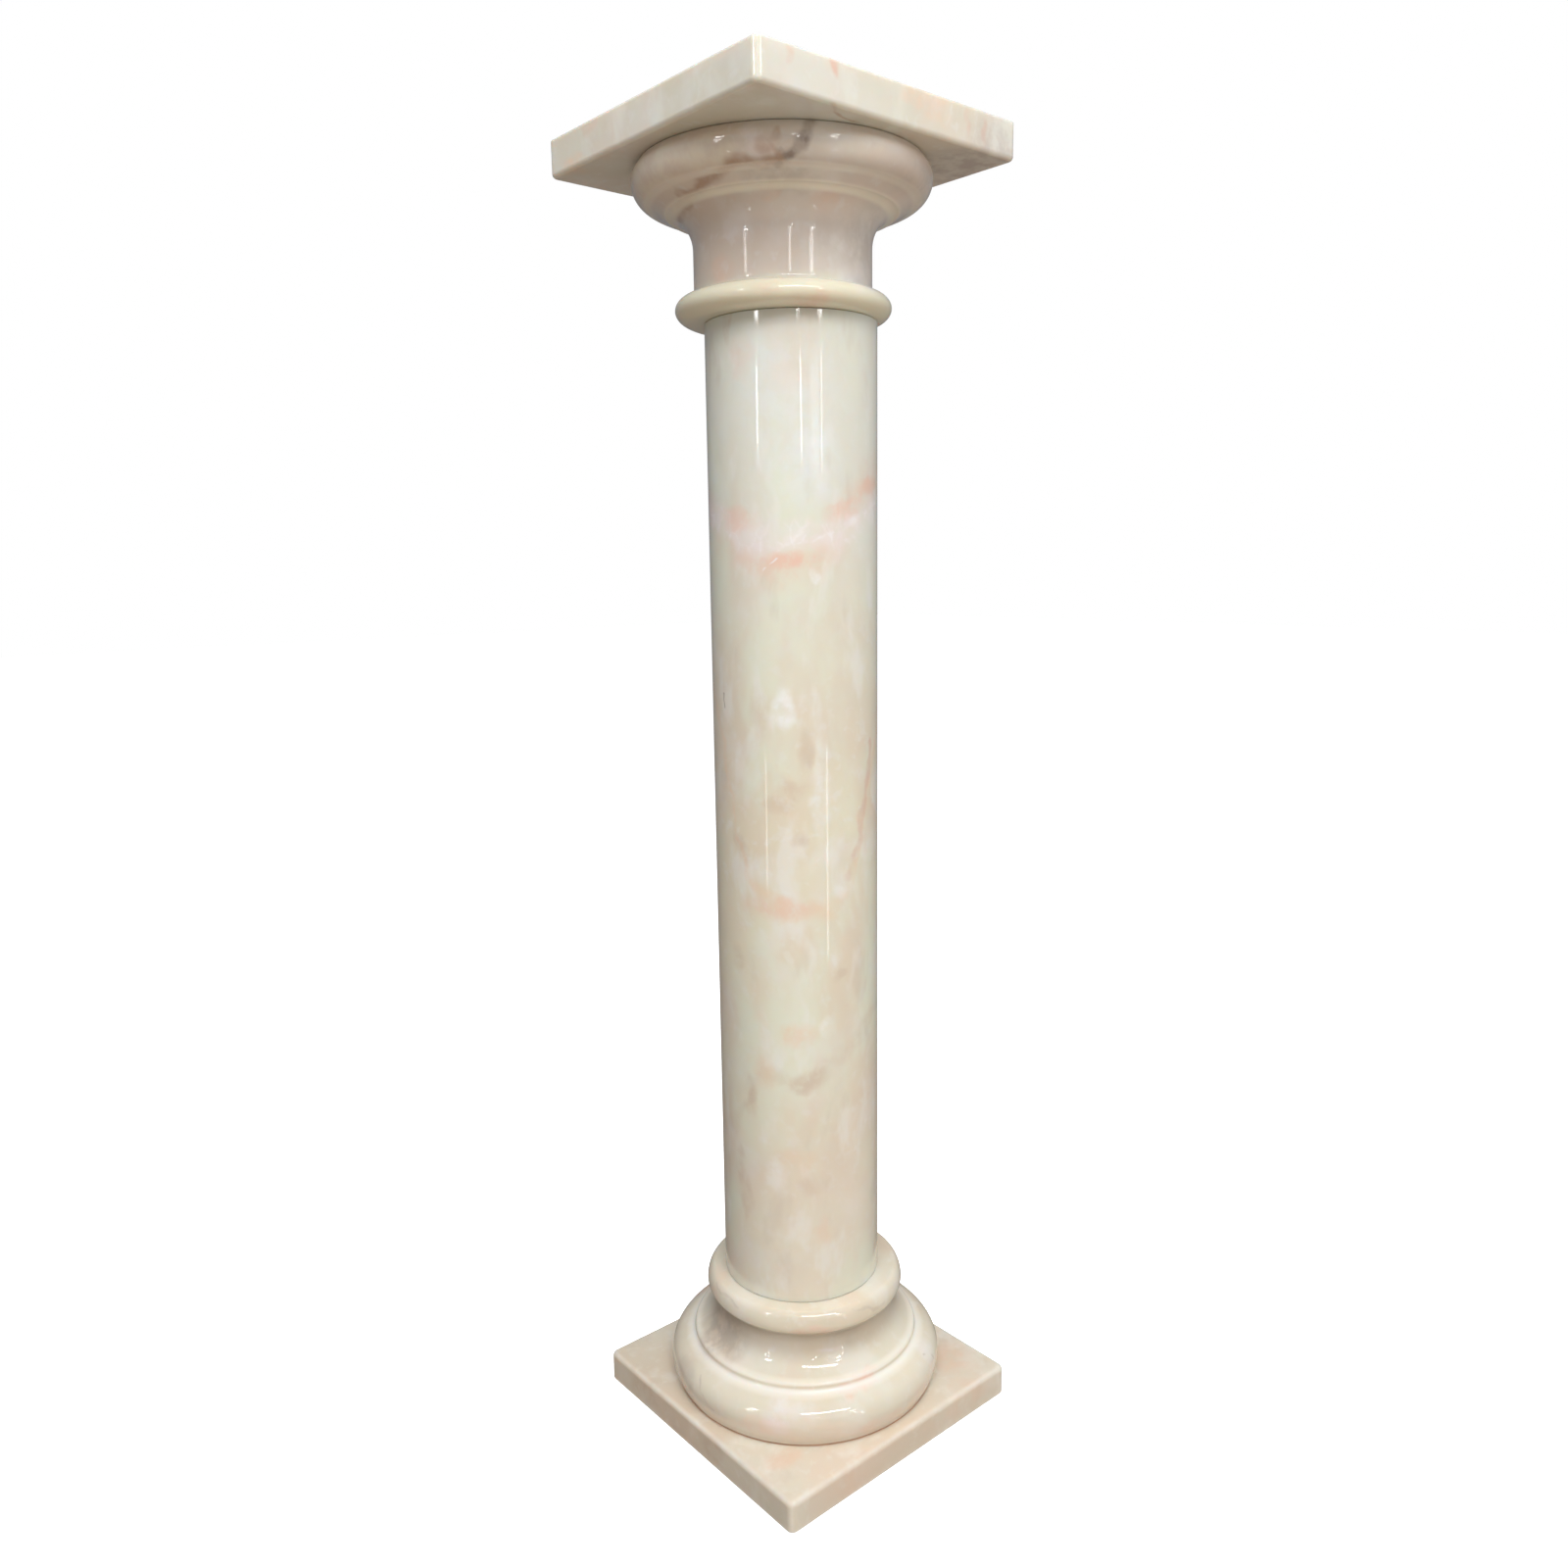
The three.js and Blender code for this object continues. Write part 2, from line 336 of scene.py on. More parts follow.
def slab_spot(x, y, z, turn, wide, tall, strength, lean=0):
    """A spot on a slab, in millimetres: turn is the way its face looks, 90 degrees for the back face."""
    return (Vector((x, y, z)) * MM, turn, lean, wide * MM, tall * MM, strength)


plinth_marble = MarbleBlock(
    "plinth cream marble", (0.3, 0.1, 0.0),
    cream=(0.69, 0.59, 0.46, 1), ivory=(0.72, 0.65, 0.53, 1),
    cloud=(0.74, 0.58, 0.45, 1), mist=(0.78, 0.74, 0.65, 1),
)
plinth_marble.streaks(FAWN, scale=26, start=0.52, end=0.74, strength=0.55)
plinth_marble.streaks(PALE_CREAM, scale=34, start=0.5, end=0.7, strength=0.6, lean=(-0.5, 0.3, 0.0))
plinth_marble.spots(PLINTH_PINK, (
    slab_spot(-93, -80, 25, LEFT_FACE, 9, 14, 0.7),
    slab_spot(91, -86, 25, RIGHT_FACE, 18, 14, 0.5),
    slab_spot(71, -119, 16, RIGHT_FACE, 22, 10, 0.5),
    slab_spot(-60, -119, 12, RIGHT_FACE, 20, 8, 0.4),
    slab_spot(30, 119, 14, RIGHT_FACE, 24, 12, 0.5),
))
plinth_marble.spots(PLINTH_BROWN, (
    slab_spot(-119, 67, 14, LEFT_FACE, 16, 9, 0.5),
    slab_spot(-119, -25, 15, LEFT_FACE, 12, 8, 0.45),
    slab_spot(119, 20, 12, LEFT_FACE, 18, 9, 0.5),
))
from_middle = reckon_vector(plinth_marble.tree, "MULTIPLY", plinth_marble.place, (1, 1, 0))
from_middle = reckon_vector(plinth_marble.tree, "LENGTH", from_middle, result="Value")
stained = faded(plinth_marble.tree, from_middle, BEDDING_RADIUS + BEDDING_WIDTH, BEDDING_RADIUS, 0.85)
plinth_marble.lay(stained, BEDDING_STAIN)
# Painted highlight along the plinth's arrises.
plinth_marble.painted_arris_highlights(*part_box("plinth"), PLINTH_HIGHLIGHT_REACH, PLINTH_ARRIS_HIGHLIGHT, 0.55)
plinth = rubbed_slab("marble_plinth", *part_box("plinth"), PLINTH_FINE_ARRIS, PLINTH_SOFT_ARRIS)
plinth.data.materials.append(plinth_marble.polished())
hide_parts("plinth")
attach(plinth, "root")


# Base
# One block turned on a stone lathe: a large torus below, a fillet, a deep scotia and a smaller torus above,
# with a flat seat for the shaft. It is bedded on the plinth with a hairline joint.
LOWER_TORUS_FOOT = (8.5 * MM, 17.6 * MM)
LOWER_TORUS_TOP = (19.6 * MM, 16.9 * MM)
FILLET_HEIGHT = 6.9 * MM
SCOTIA = (20.5 * MM, 31.1 * MM)
UPPER_TORUS_FOOT = (9 * MM, 8.1 * MM)
UPPER_TORUS_TOP = (7.2 * MM, 11.8 * MM)
QUARTER_STEPS = 18
TURNED_SIDES = 288
BASE_HOLLOW, BASE_ARRIS = 5.4 * MM, 3 * MM
JOINT_EASE = 0.5 * MM
FOOT_START = -45
EASE_STEPS = 8
CORNER_TURN = math.radians(20)
SAME_PLACE = 0.01 * MM
WELD = 0.02 * MM
SCOTIA_SHADE_LEVEL = 88 * MM
LATHE_WOBBLE = 0.05 * MM
BASE_PINK = (0.80, 0.53, 0.42, 1)
BASE_WHITE = (0.83, 0.79, 0.78, 1)
GREY_VEIN = (0.52, 0.45, 0.38, 1)
FAINT_VEIN = (0.54, 0.46, 0.38, 1)
SCOTIA_PAINTED_SHADE = (0.45, 0.34, 0.25, 1)
FOOT_PINK_AND_PAINTED_LIGHT = (0.86, 0.71, 0.60, 1)
FOOT_STAIN = (0.66, 0.40, 0.26, 1)
FILLET_PAINTED_HIGHLIGHT = (0.92, 0.88, 0.80, 1)
BASE_PAINTED_SHADE = (0.36, 0.30, 0.25, 1)


def quarter(radius, height, size, start, end):
    """A quarter ellipse of an outline, about (radius, height), between two angles in degrees."""
    run, rise = size
    points = []
    for step in range(QUARTER_STEPS + 1):
        angle = math.radians(start + (end - start) * step / QUARTER_STEPS)
        points.append(Vector((radius + run * math.cos(angle), height + rise * math.sin(angle))))
    return points


def carried_on(before, end, level):
    """Where a curve comes to if it runs on straight from its last two points to a level."""
    return end + (end - before) * (level - end.y) / (end.y - before.y)


def walked(points, corner, step, reach):
    """The place so far along an outline from a corner, and the first point beyond it. step is the way to go,
    1 or -1."""
    i = corner
    while True:
        stride = points[i + step] - points[i]
        if stride.length >= reach or not 0 < i + step < len(points) - 1:
            return points[i] + stride.normalized() * min(reach, stride.length / 2), i + step
        reach -= stride.length
        i += step


def eased(outline, hollow_ease, proud_ease):
    """An outline with its corners rounded as the polisher's pad leaves them, so far back from each corner."""
    points = [outline[0]]
    for point in outline[1:]:
        if (point - points[-1]).length > SAME_PLACE:
            points.append(point)
    soft, i = [points[0]], 1
    while i < len(points) - 1:
        if (points[i] - points[i - 1]).angle(points[i + 1] - points[i]) < CORNER_TURN:
            soft.append(points[i])
            i += 1
            continue
        hollow = (points[i + 1] - points[i]).cross(points[i] - points[i - 1]) > 0
        reach = hollow_ease if hollow else proud_ease
        if i in (1, len(points) - 2):
            reach = JOINT_EASE
        start, before = walked(points, i, -1, reach)
        end, after = walked(points, i, 1, reach)
        while len(soft) > 1 and (soft[-1] - start).dot(points[i] - start) > 0:
            soft.pop()
        if (start - soft[-1]).length > 4 * reach:
            soft.append(start + (points[before] - start).normalized() * 0.5 * reach)
        for step in range(EASE_STEPS + 1):
            t = step / EASE_STEPS
            soft.append(start * (1 - t) ** 2 + points[i] * 2 * t * (1 - t) + end * t ** 2)
        if (points[after] - end).length > 4 * reach:
            soft.append(end + (points[after] - end).normalized() * 0.5 * reach)
        i = after
    soft.append(points[-1])
    return soft


def lathe_nodes():
    """Geometry nodes that turn an outline, a line of points at (radius, 0, height), about an upright axis."""
    tree = bpy.data.node_groups.new("stone lathe", "GeometryNodeTree")
    for name, kind in (
        ("Outline", "Geometry"), ("Sides", "Int"), ("Axis", "Vector"), ("Wobble", "Float"),
        ("Stone", "Material"),
    ):
        tree.interface.new_socket(name, in_out="INPUT", socket_type="NodeSocket" + kind)
    tree.interface.new_socket("Block", in_out="OUTPUT", socket_type="NodeSocketGeometry")
    given = node(tree, "NodeGroupInput").outputs
    rows = node(tree, "GeometryNodeAttributeDomainSize", (given["Outline"],)).outputs["Point Count"]
    columns = reckon(tree, "ADD", given["Sides"], 1)
    sheet = node(tree, "GeometryNodeMeshGrid", (1.0, 1.0, columns, rows)).outputs["Mesh"]
    position = node(tree, "GeometryNodeInputPosition").outputs[0]
    at = xyz(tree, position)
    share = reckon(tree, "ADD", at["Y"], 0.5)
    row = reckon(tree, "ROUND", reckon(tree, "MULTIPLY", share, reckon(tree, "SUBTRACT", rows, 1)))
    angle = reckon(tree, "MULTIPLY", reckon(tree, "ADD", at["X"], 0.5), 2 * math.pi)
    picked = node(tree, "GeometryNodeSampleIndex", {"Geometry": given["Outline"]}, data_type="FLOAT_VECTOR")
    tree.links.new(position, picked.inputs["Value"])
    tree.links.new(row, picked.inputs["Index"])
    outline = xyz(tree, picked.outputs[0])
    cosine, sine = reckon(tree, "COSINE", angle), reckon(tree, "SINE", angle)
    around = node(tree, "ShaderNodeCombineXYZ", (cosine, sine, reckon(tree, "MULTIPLY", outline["Z"], 12.0)))
    ripple = grain(tree, around.outputs[0], 1.7, 1).outputs[0]
    swell = reckon(tree, "MULTIPLY", reckon(tree, "SUBTRACT", ripple, 0.5), given["Wobble"])
    off_axis = reckon(tree, "GREATER_THAN", outline["X"], MM)
    radius = reckon(tree, "ADD", outline["X"], reckon(tree, "MULTIPLY", swell, off_axis))
    x, y = reckon(tree, "MULTIPLY", radius, cosine), reckon(tree, "MULTIPLY", radius, sine)
    turned = node(tree, "ShaderNodeCombineXYZ", (x, y, outline["Z"])).outputs[0]
    placed = reckon_vector(tree, "ADD", turned, given["Axis"])
    shell = node(tree, "GeometryNodeSetPosition", {"Geometry": sheet, "Position": placed}).outputs[0]
    closed = node(tree, "GeometryNodeMergeByDistance", {"Geometry": shell, "Distance": WELD}).outputs[0]
    smooth = node(tree, "GeometryNodeSetShadeSmooth", {"Geometry": closed}).outputs[0]
    real = node(tree, "GeometryNodeRealizeInstances", {"Geometry": smooth}).outputs[0]
    painted = node(tree, "GeometryNodeSetMaterial", {"Geometry": real, "Material": given["Stone"]}).outputs[0]
    node(tree, "NodeGroupOutput", (painted,))
    return tree


stone_lathe = lathe_nodes()


def turned_block(name, outline, axis, hollow_ease, proud_ease, wobble, stone):
    """A block of stone turned from its outline, closed on its axis at both ends."""
    outline = [Vector((0, outline[0].y))] + outline + [Vector((0, outline[-1].y))]
    outline = eased(outline, hollow_ease, proud_ease)
    line = bpy.data.meshes.new(name)
    line.from_pydata([(p.x, 0, p.y) for p in outline], [(i, i + 1) for i in range(len(outline) - 1)], [])
    block = bpy.data.objects.new(name, line)
    bpy.context.scene.collection.objects.link(block)
    lathe = block.modifiers.new("lathe", "NODES")
    lathe.node_group = stone_lathe
    sockets = stone_lathe.interface.items_tree
    for socket, value in (("Sides", TURNED_SIDES), ("Axis", axis), ("Wobble", wobble), ("Stone", stone)):
        lathe[sockets[socket].identifier] = value
    evaluated = block.evaluated_get(bpy.context.evaluated_depsgraph_get())
    shape = bpy.data.meshes.new_from_object(evaluated)
    block.modifiers.remove(lathe)
    block.data = shape
    return block


def axis_of(low, high):
    """The upright axis of a turned block's box, at the level of the floor."""
    return Vector(((low.x + high.x) / 2, (low.y + high.y) / 2, 0))


base_low, base_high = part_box("base")
base_radius = (base_high.x - base_low.x) / 2
fillet_radius = base_radius - LOWER_TORUS_TOP[0]
waist_radius = fillet_radius - SCOTIA[0]
seat_radius = waist_radius + UPPER_TORUS_FOOT[0] - UPPER_TORUS_TOP[0]
lower_torus_level = base_low.z + LOWER_TORUS_FOOT[1]
fillet_foot = lower_torus_level + LOWER_TORUS_TOP[1]
waist_level = fillet_foot + FILLET_HEIGHT + SCOTIA[1]
upper_torus_level = waist_level + UPPER_TORUS_FOOT[1]
base_foot = quarter(base_radius - LOWER_TORUS_FOOT[0], lower_torus_level, LOWER_TORUS_FOOT, FOOT_START, 0)
base_outline = (
    [carried_on(base_foot[1], base_foot[0], base_low.z)] + base_foot
    + quarter(fillet_radius, lower_torus_level, LOWER_TORUS_TOP, 0, 90)
    + quarter(fillet_radius, waist_level, SCOTIA, 270, 180)
    + quarter(waist_radius, upper_torus_level, UPPER_TORUS_FOOT, -90, 0)
    + quarter(seat_radius, upper_torus_level, UPPER_TORUS_TOP, 0, 90)
)


def radius_at(outline, level):
    """How far out a turned block's face stands at a height."""
    reach = 0
    for p, q in zip(outline, outline[1:]):
        if min(p.y, q.y) <= level <= max(p.y, q.y) and p.y != q.y:
            reach = max(reach, p.x + (q.x - p.x) * (level - p.y) / (q.y - p.y))
    return reach


def turned_place(outline, axis, turn, level):
    """A place on a turned block's face: turn in degrees about its axis, level in mm above the floor."""
    radius, angle = radius_at(outline, level * MM), math.radians(turn)
    return axis + Vector((radius * math.cos(angle), radius * math.sin(angle), level * MM))


def turned_line(outline, axis, *places):
    """A line of places on a turned block's face, each given as its turn and its level."""
    return [turned_place(outline, axis, turn, level) for turn, level in places]


def turned_spots(outline, axis, spots):
    """Spots on a turned block, each (turn, level, width, height, lean, strength), in degrees and mm."""
    placed = []
    for turn, level, wide, tall, lean, strength in spots:
        placed.append((turned_place(outline, axis, turn, level), turn, lean, wide * MM, tall * MM, strength))
    return placed


base_axis = axis_of(base_low, base_high)
base_marble = MarbleBlock(
    "base ivory marble", (0.0, 0.7, 0.2),
    cream=(0.70, 0.62, 0.48, 1), ivory=(0.74, 0.68, 0.55, 1),
    cloud=(0.77, 0.61, 0.49, 1), mist=(0.79, 0.76, 0.69, 1),
)
base_marble.spots(BASE_PINK, turned_spots(base_outline, base_axis, (
    (235, 102, 16, 5, 0, 0.5), (260, 63, 9, 5, 10, 0.75), (249, 60, 8, 4, 0, 0.55),
    (212, 42, 16, 7, 5, 0.55), (257, 34, 12, 6, 0, 0.55), (266, 34, 8, 5, 0, 0.5),
    (20, 60, 16, 9, 0, 0.6), (60, 36, 22, 9, 10, 0.6), (110, 50, 16, 8, -10, 0.5),
    (330, 40, 20, 9, 8, 0.6), (90, 108, 14, 6, 0, 0.5), (160, 34, 14, 7, 0, 0.5),
)))
base_marble.spots(BASE_WHITE, turned_spots(base_outline, base_axis, (
    (218, 50, 12, 10, 0, 0.6), (227, 52, 10, 8, 0, 0.4), (300, 56, 10, 7, 0, 0.5), (40, 52, 14, 8, 0, 0.6),
    (210, 82, 3, 2, 0, 0.8), (243, 82, 7, 1.6, 0, 0.8), (140, 100, 12, 5, 0, 0.5),
)))
for colour, width, strength, places in (
    (GREY_VEIN, 2 * MM, 0.5, ((296, 57), (301, 50), (303, 42), (300, 35))),
    (GREY_VEIN, 1.6 * MM, 0.5, ((176, 56), (181, 48), (188, 40))),
    (FAINT_VEIN, 2.2 * MM, 0.45, ((162, 115), (170, 114.5), (179, 113.5), (187, 111))),
    (FAINT_VEIN, 2.2 * MM, 0.45, ((258, 113.5), (268, 113), (273, 109), (281, 111))),
):
    base_marble.vein(colour, width, strength, turned_line(base_outline, base_axis, *places))
# Painted shade: a darker ring round the scotia's waist, under the upper torus.
base_marble.ring(SCOTIA_PAINTED_SHADE, SCOTIA_SHADE_LEVEL, 16 * MM, 2 * MM, 0.45)
base_height = xyz(base_marble.tree, base_marble.place)["Z"]
# Pinker and lighter towards the lower torus's foot, partly painted light where the foot lies in shade; then
# the brown bedding stain along the joint.
for colour, top, foot, strength in (
    (FOOT_PINK_AND_PAINTED_LIGHT, 24 * MM, 4 * MM, 0.5), (FOOT_STAIN, 1.6 * MM, 0.6 * MM, 0.9),
):
    low_down = faded(base_marble.tree, base_height, base_low.z + top, base_low.z + foot, strength)
    base_marble.lay(low_down, colour)
# Painted highlights: a pale line on the fillet's upper arris, and a paler ring that lifts the shade in the
# hollow at its foot.
base_marble.ring(FILLET_PAINTED_HIGHLIGHT, fillet_foot + FILLET_HEIGHT - 0.4 * MM, 2.2 * MM, 0.4 * MM, 0.45)
base_marble.ring(FILLET_PAINTED_HIGHLIGHT, fillet_foot + 1.2 * MM, 3 * MM, 0.4 * MM, 0.85)
# Painted shade in the scotia under the upper torus, and on the lower torus.
base_marble.spots(BASE_PAINTED_SHADE, turned_spots(base_outline, base_axis, (
    (168, 80, 26, 18, 0, 0.58), (20, 86, 22, 10, 0, 0.3), (166, 42, 14, 16, 0, 0.3),
    (255, 92, 14, 8, 0, 0.2),
)))
base = turned_block(
    "marble_base", base_outline, base_axis, BASE_HOLLOW, BASE_ARRIS, LATHE_WOBBLE, base_marble.polished()
)
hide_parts("base")
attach(base, "root")


# Shaft
# A plain cylinder of the palest stone, turned with no taper and polished to a mirror. It stands on the
# base's seat, a little off the centre.
SHAFT_ROW = 8 * MM
SHAFT_WOBBLE = 0.12 * MM
shaft_low, shaft_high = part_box("shaft")
shaft_radius = (shaft_high.x - shaft_low.x) / 2
shaft_length = shaft_high.z - shaft_low.z
shaft_rows = round(shaft_length / SHAFT_ROW)
shaft_outline = []
for row in range(shaft_rows + 1):
    shaft_outline.append(Vector((shaft_radius, shaft_low.z + shaft_length * row / shaft_rows)))
shaft_axis = axis_of(shaft_low, shaft_high)
SALMON = (0.80, 0.55, 0.44, 1)
PEACH = (0.80, 0.62, 0.46, 1)
TAN = (0.58, 0.42, 0.31, 1)
LILAC_WHITE = (0.84, 0.81, 0.82, 1)
MILK_WHITE = (0.85, 0.85, 0.82, 1)
ICE_WHITE = (0.79, 0.82, 0.84, 1)
HEALED_WHITE = (0.88, 0.85, 0.84, 1)
COOL_IVORY = (0.73, 0.745, 0.68, 1)
WARM_CREAM = (0.76, 0.67, 0.57, 1)
SAND = (0.71, 0.62, 0.51, 1)
GREEN_IVORY = (0.75, 0.77, 0.64, 1)
MILKY_STREAK = (0.82, 0.81, 0.77, 1)
GREY_BROWN = (0.62, 0.54, 0.45, 1)
DARK_VEIN = (0.30, 0.22, 0.18, 1)
PINK_VEIN = (0.68, 0.46, 0.36, 1)
shaft_marble = MarbleBlock(
    "shaft pale marble", (1.1, 0.2, 0.5),
    cream=(0.74, 0.66, 0.52, 1), ivory=(0.77, 0.74, 0.59, 1),
    cloud=(0.75, 0.63, 0.50, 1), mist=(0.81, 0.80, 0.77, 1),
)
shaft_height = xyz(shaft_marble.tree, shaft_marble.ragged)["Z"]
shaft_marble.lay(faded(shaft_marble.tree, shaft_height, 0.50, 0.80, 0.75), COOL_IVORY)
shaft_marble.lay(faded(shaft_marble.tree, shaft_height, 0.42, 0.15, 0.5), WARM_CREAM)
shaft_marble.streaks(SAND, scale=15, start=0.5, end=0.70, strength=0.5)
shaft_marble.streaks(GREEN_IVORY, scale=19, start=0.46, end=0.66, strength=0.8, lean=(0.7, 0.2, 0.3))
shaft_marble.streaks(MILKY_STREAK, scale=42, start=0.52, end=0.68, strength=0.5, lean=(0.9, 0.3, 0.2))
shaft_marble.streaks(GREY_BROWN, scale=36, start=0.56, end=0.74, strength=0.4, lean=(-0.7, 0.5, 0.1))
shaft_marble.spots(ICE_WHITE, turned_spots(shaft_outline, shaft_axis, (
    (222, 818, 30, 34, 0, 0.4), (238, 768, 22, 30, 0, 0.45), (60, 800, 30, 34, 0, 0.5),
    (150, 740, 24, 30, 0, 0.5),
)))
shaft_marble.band(SALMON, 30 * MM, 0.5, shaft_axis, (
    (0, 0.770), (60, 0.742), (120, 0.752), (172, 0.722), (191, 0.708), (211, 0.698), (226, 0.697),
    (245, 0.704), (263, 0.722), (290, 0.748), (320, 0.762),
))
pale_band = shaft_marble.band(LILAC_WHITE, 17 * MM, 0.62, shaft_axis, (
    (0, 0.748), (60, 0.756), (120, 0.738), (172, 0.727), (196, 0.714), (217, 0.710), (232, 0.712),
    (252, 0.715), (271, 0.722), (300, 0.735),
))
shaft_marble.crackle(HEALED_WHITE, 75, 0.9, pale_band)
shaft_marble.band(PEACH, 12 * MM, 0.55, shaft_axis, (
    (0, 0.590), (60, 0.575), (120, 0.600), (160, 0.590), (180, 0.520), (188, 0.485), (196, 0.461),
    (209, 0.450), (220, 0.440), (240, 0.438), (261, 0.446), (274, 0.471), (280, 0.493), (287, 0.523),
    (310, 0.570),
))
shaft_marble.band(TAN, 12 * MM, 0.22, shaft_axis, (
    (0, 0.345), (60, 0.300), (120, 0.262), (180, 0.262), (193, 0.288), (204, 0.305), (234, 0.302),
    (244, 0.314), (262, 0.322), (300, 0.350),
))
shaft_marble.spots(SALMON, turned_spots(shaft_outline, shaft_axis, (
    (196, 838, 10, 12, 0, 0.3), (191, 726, 14, 8, 0, 0.55), (263, 731, 16, 6, 20, 0.7),
    (290, 749, 12, 6, 20, 0.7), (226, 697, 16, 5, 0, 0.85), (213, 440, 24, 8, 0, 0.5),
    (280, 493, 4, 14, 10, 0.5), (246, 180, 4, 12, 0, 0.25), (100, 650, 22, 9, 10, 0.6),
    (40, 480, 12, 26, -8, 0.5), (330, 250, 22, 10, 12, 0.6), (90, 240, 14, 18, 0, 0.5),
    (350, 820, 18, 10, 0, 0.4),
)))
shaft_marble.spots(PEACH, turned_spots(shaft_outline, shaft_axis, (
    (226, 821, 14, 9, 0, 0.2), (229, 341, 13, 9, 0, 0.6), (228, 239, 12, 8, 0, 0.5),
    (243, 176, 10, 8, 0, 0.3), (204, 308, 8, 12, 0, 0.4), (20, 600, 20, 14, 0, 0.5),
    (130, 400, 16, 20, 0, 0.5), (60, 150, 18, 12, 0, 0.5),
)))
shaft_marble.spots(TAN, turned_spots(shaft_outline, shaft_axis, (
    (184, 862, 4, 12, 0, 0.4), (205, 588, 7, 16, 0, 0.22), (236, 559, 5, 13, -12, 0.34),
    (227, 530, 9, 6, 0, 0.3), (216, 520, 10, 6, 0, 0.26), (230, 490, 6, 5, 0, 0.3),
    (188, 485, 5, 14, 20, 0.3), (260, 386, 6, 4, 20, 0.3), (183, 396, 5, 9, 0, 0.3),
    (236, 305, 14, 8, 20, 0.42), (193, 287, 4, 14, 0, 0.3), (180, 226, 4, 15, 0, 0.32),
    (186, 198, 5, 14, 0, 0.28), (234, 217, 8, 8, 0, 0.2), (50, 700, 6, 18, 0, 0.35),
    (350, 560, 8, 13, 10, 0.3), (110, 330, 6, 14, 0, 0.35), (310, 420, 7, 12, 0, 0.3),
)))
shaft_marble.spots(MILK_WHITE, turned_spots(shaft_outline, shaft_axis, (
    (221, 591, 7, 14, 0, 1.0), (242, 685, 4, 5, 0, 0.9), (246, 530, 6, 32, 0, 0.5),
    (261, 455, 7, 9, 0, 0.6), (249, 347, 5, 7, 0, 0.6), (211, 224, 8, 11, 0, 0.5),
    (30, 530, 8, 16, 0, 0.8), (120, 560, 7, 12, 0, 0.8), (340, 640, 8, 12, 0, 0.7),
    (80, 400, 8, 14, 0, 0.7),
)))
for colour, width, strength, places in (
    (LILAC_WHITE, 0.9 * MM, 0.8, ((211, 689), (216, 697), (222, 701))),
    (DARK_VEIN, MM, 0.7, ((170, 601), (172, 589))),
    (PINK_VEIN, 5.5 * MM, 0.6, ((292, 560), (286, 529), (279, 498), (272, 474), (264, 460))),
):
    shaft_marble.vein(colour, width, strength, turned_line(shaft_outline, shaft_axis, *places))
shaft = turned_block(
    "marble_shaft", shaft_outline, shaft_axis, JOINT_EASE, JOINT_EASE, SHAFT_WOBBLE, shaft_marble.polished()
)
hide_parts("shaft")
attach(shaft, "root")


# Capital
# One turned block of greyer, mauve stone: a half-round ring, a straight neck, a cavetto up to a fine arris,
# a splayed band and a broad ovolo under the abacus. It sits on the shaft, out of centre by a few millimetres.
RING_HEIGHT = 18.5 * MM
RING_SECTION_RUN = 13 * MM
RING_STAND_OUT = 14.2 * MM
NECK_HEIGHT = 32.1 * MM
CAVETTO = (19.3 * MM, 24.5 * MM)
BAND = (11.3 * MM, 6.2 * MM)
OVOLO_FOOT = (13.1 * MM, 15.5 * MM)
OVOLO_TOP = (11 * MM, 9.2 * MM)
OVOLO_END = 30
CAPITAL_HOLLOW, CAPITAL_ARRIS = 3.6 * MM, 1.2 * MM
capital_low, capital_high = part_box("capital")
ovolo_radius = (capital_high.x - capital_low.x) / 2
lip_radius = ovolo_radius - OVOLO_FOOT[0]
arris_radius = lip_radius - BAND[0]
neck_radius = arris_radius - CAVETTO[0]
ring_radius = neck_radius + RING_STAND_OUT
ring_centre = ring_radius - RING_SECTION_RUN
ring_size = (RING_SECTION_RUN, RING_HEIGHT / 2)
ring_level = capital_low.z + RING_HEIGHT / 2
neck_top = capital_low.z + RING_HEIGHT + NECK_HEIGHT
ovolo_level = neck_top + CAVETTO[1] + BAND[1] + OVOLO_FOOT[1]
ovolo_top = quarter(ovolo_radius - OVOLO_TOP[0], ovolo_level, OVOLO_TOP, 0, OVOLO_END)
capital_outline = (
    quarter(ring_centre, ring_level, ring_size, -90, 0)
    + quarter(ring_centre, ring_level, ring_size, 0, 90)
    + [Vector((neck_radius, capital_low.z + RING_HEIGHT))]
    + quarter(arris_radius, neck_top, CAVETTO, 180, 90)
    + quarter(lip_radius, ovolo_level, OVOLO_FOOT, -90, 0)
    + ovolo_top + [carried_on(ovolo_top[-2], ovolo_top[-1], capital_high.z)]
)
capital_axis = axis_of(capital_low, capital_high)
RING_CREAM = (0.76, 0.73, 0.58, 1)
CAPITAL_PINK = (0.78, 0.56, 0.44, 1)
CAPITAL_WHITE = (0.84, 0.82, 0.84, 1)
BUFF = (0.79, 0.73, 0.60, 1)
MAUVE_GREY_AND_PAINTED_SHADE = (0.52, 0.46, 0.41, 1)
RUST = (0.44, 0.28, 0.19, 1)
SMOKE = (0.23, 0.17, 0.14, 1)
RIDGE_PAINTED_HIGHLIGHT = (0.90, 0.85, 0.72, 1)
LIP_PAINTED_HIGHLIGHT = (0.88, 0.82, 0.72, 1)
capital_marble = MarbleBlock(
    "capital mauve-grey marble", (0.4, 0.9, 0.1),
    cream=(0.67, 0.58, 0.50, 1), ivory=(0.71, 0.65, 0.59, 1),
    cloud=(0.69, 0.56, 0.48, 1), mist=(0.76, 0.73, 0.71, 1),
)
